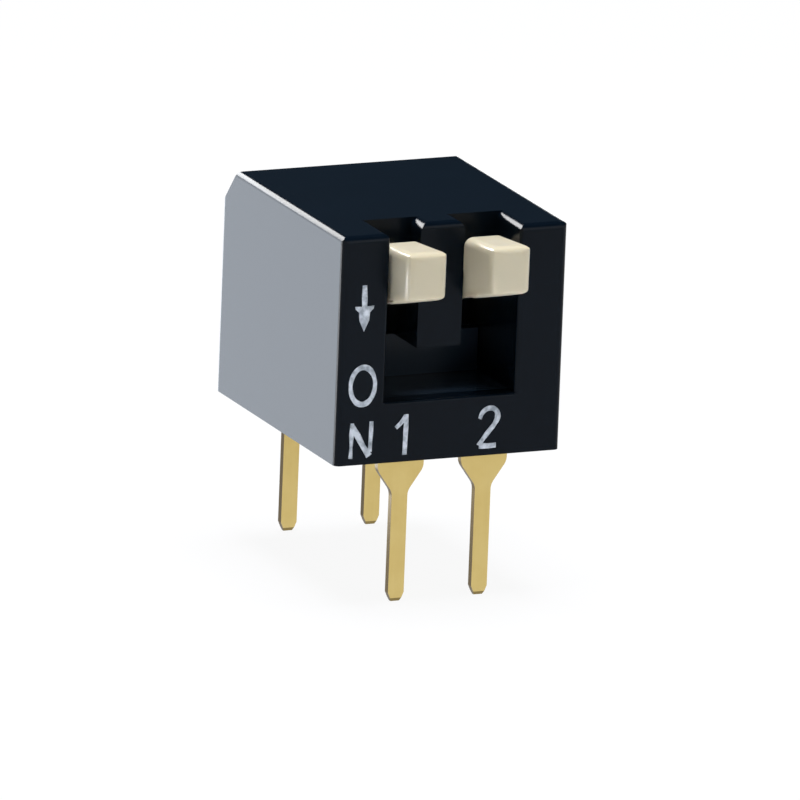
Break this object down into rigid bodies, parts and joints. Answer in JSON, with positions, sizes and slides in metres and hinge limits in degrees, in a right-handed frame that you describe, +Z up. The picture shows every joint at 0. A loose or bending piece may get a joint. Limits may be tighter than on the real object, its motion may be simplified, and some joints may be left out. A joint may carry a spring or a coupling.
{
  "type": "piano dip switch",
  "caption": "Piano dip switch for through-hole boards: rocker levers in the front window of a black moulded cover open and close leaf contacts between flat gold terminals.",
  "frame": {"origin": "centre of the terminal grid on the plane of the body's underside, where the board's surface is", "axes": "+X along the row of keys from position 1 to position 2, -Y towards the keys, +Z up from the board"},
  "size_m": [0.0068, 0.0096, 0.0107],
  "materials": {
    "cover_plastic": "fine satin moulding in black glass-filled polyester",
    "base_plastic": "satin moulding in black glass-filled polyester",
    "lever_plastic": "smooth semi-gloss moulding in ivory nylon",
    "terminal_gold": "thin gold plate on stamped brass strip, satin",
    "spring_gold": "gold plate on spring copper alloy, satin"
  },
  "bodies": {
    "body": {"cover": "cover_plastic", "base": "base_plastic", "front_terminal_1": "terminal_gold", "front_terminal_2": "terminal_gold", "rear_terminal_1": "terminal_gold", "rear_terminal_2": "terminal_gold", "contact_spring_1": "spring_gold", "contact_spring_2": "spring_gold"},
    "lever_1": {"lever_1": "lever_plastic"},
    "lever_2": {"lever_2": "lever_plastic"}
  },
  "joints": [
    {"name": "lever_1_rock", "type": "hinge", "parent": "body", "child": "lever_1", "pos_m": [-0.00127, -0.00025, 0.00442], "axis": [1, 0, 0], "range_deg": [0, 27], "deforming": ["contact_spring_1"]},
    {"name": "lever_2_rock", "type": "hinge", "parent": "body", "child": "lever_2", "pos_m": [0.00127, -0.00025, 0.00442], "axis": [1, 0, 0], "range_deg": [0, 27], "deforming": ["contact_spring_2"]}
  ]
}
